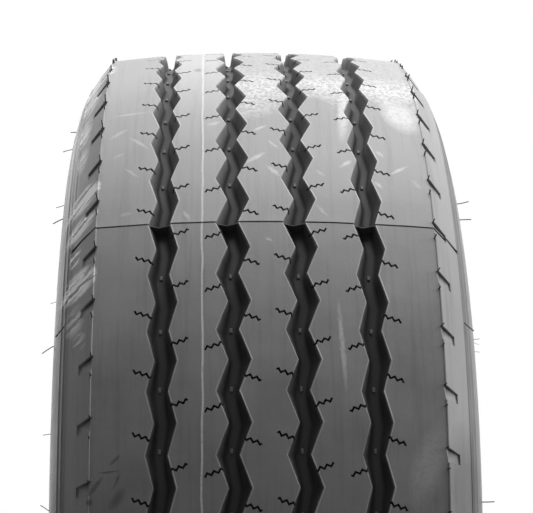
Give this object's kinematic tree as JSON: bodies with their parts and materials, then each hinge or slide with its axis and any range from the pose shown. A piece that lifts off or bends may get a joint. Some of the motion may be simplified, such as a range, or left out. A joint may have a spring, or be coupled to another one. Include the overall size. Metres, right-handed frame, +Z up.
{
  "type": "truck tyre",
  "caption": "Wide-base truck tyre with a ribbed tread, zigzag grooves, notched shoulders and tapered beads that seat on a drop-centre rim.",
  "frame": {"origin": "wheel centre: on the wheel axis, midway between the two beads", "axes": "+Y along the wheel axis, +Z up, +X towards the front of the tread in the picture's view"},
  "size_m": [1.1236, 0.425, 1.1236],
  "materials": {
    "tyre_rubber": "moulded rubber, satin with dusty scuffs"
  },
  "bodies": {
    "root": {"tyre": "tyre_rubber"}
  },
  "joints": []
}
